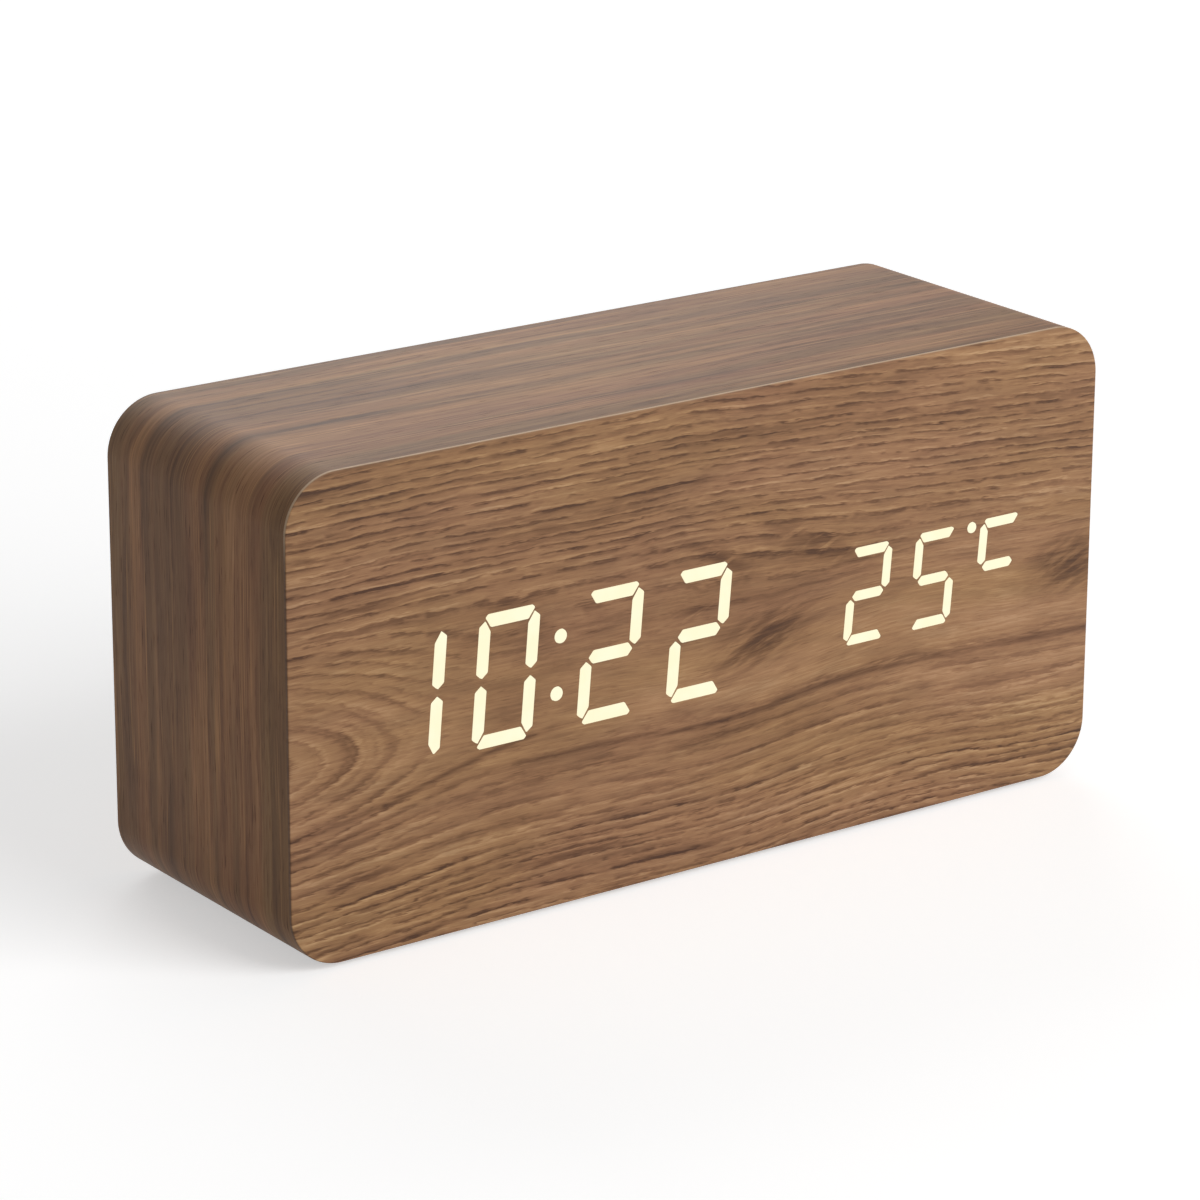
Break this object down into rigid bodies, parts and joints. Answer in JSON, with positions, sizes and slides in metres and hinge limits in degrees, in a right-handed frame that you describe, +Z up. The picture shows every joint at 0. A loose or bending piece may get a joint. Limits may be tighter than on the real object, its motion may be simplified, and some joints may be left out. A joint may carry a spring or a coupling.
{
  "type": "alarm clock",
  "caption": "Block-shaped bedside clock wrapped in wood-grain foil, with glowing slanted digits for time and room temperature, rear buttons, a power socket and a battery bay underneath.",
  "frame": {"origin": "on the table under the middle of the clock", "axes": "+X to the right as seen from the front, +Y from the display to the back, +Z up"},
  "size_m": [0.15, 0.05, 0.075],
  "materials": {
    "fibreboard": "raw",
    "wood_foil": "satin",
    "opal_plastic": "satin",
    "black_plastic": "satin",
    "white_plastic": "satin",
    "circuit_board": "gloss",
    "chip_plastic": "matte",
    "steel": "plain",
    "nickel": "bright",
    "black_screw": "black oxide",
    "capacitor_sleeve": "gloss",
    "cell_jacket": "gloss",
    "bead": "gloss",
    "red_insulation": "satin",
    "black_insulation": "satin",
    "ribbon_insulation": "satin",
    "rubber": "matte"
  },
  "bodies": {
    "clock": {"case_core": "fibreboard", "wrap_foil": "wood_foil", "front_foil": "wood_foil", "back_panel": "fibreboard", "back_foil": "wood_foil", "foot_1": "rubber", "foot_2": "rubber", "foot_3": "rubber", "foot_4": "rubber", "panel_screw_1": "black_screw", "panel_screw_2": "black_screw", "panel_screw_3": "black_screw", "panel_screw_4": "black_screw", "time_diffuser": "opal_plastic", "temperature_diffuser": "opal_plastic", "segment_mask": "black_plastic", "display_board": "circuit_board", "display_screw_1": "steel", "display_screw_2": "steel", "display_screw_3": "steel", "display_screw_4": "steel", "controller_chip": "chip_plastic", "crystal": "steel", "buzzer": "black_plastic", "smoothing_capacitor": "capacitor_sleeve", "thermistor": "bead", "battery_plug": "white_plastic", "display_ribbon_plug": "white_plastic", "control_bezel": "black_plastic", "button_board": "circuit_board", "button_ribbon_plug": "white_plastic", "ribbon_cable": "ribbon_insulation", "socket_shell": "steel", "socket_tongue": "black_plastic", "down_switch": "black_plastic", "up_switch": "black_plastic", "set_switch": "black_plastic", "board_screw_1": "steel", "board_screw_2": "steel", "battery_box": "black_plastic", "box_screw_1": "black_screw", "box_screw_2": "black_screw", "cell_1": "cell_jacket", "cell_2": "cell_jacket", "cell_3": "cell_jacket", "negative_contact": "nickel", "first_link_contact": "nickel", "second_link_contact": "nickel", "positive_contact": "nickel", "black_lead": "black_insulation", "red_lead": "red_insulation"},
    "door": {"battery_door": "black_plastic", "door_screw": "black_screw"},
    "down": {"down_button": "black_plastic", "down_plunger": "white_plastic"},
    "up": {"up_button": "black_plastic", "up_plunger": "white_plastic"},
    "set": {"set_button": "black_plastic", "set_plunger": "white_plastic"}
  },
  "joints": [
    {"name": "battery_door_hinge", "type": "hinge", "parent": "clock", "child": "door", "pos_m": [-0.0251, 0, 0.0008], "axis": [0, 1, 0], "range_deg": [0, 75]},
    {"name": "down_press", "type": "slide", "parent": "clock", "child": "down", "axis": [0, -1, 0], "range_m": [0, 0.0006], "stiffness_N_per_m": 1500},
    {"name": "up_press", "type": "slide", "parent": "clock", "child": "up", "axis": [0, -1, 0], "range_m": [0, 0.0006], "stiffness_N_per_m": 1500},
    {"name": "set_press", "type": "slide", "parent": "clock", "child": "set", "axis": [0, -1, 0], "range_m": [0, 0.0006], "stiffness_N_per_m": 1500}
  ]
}
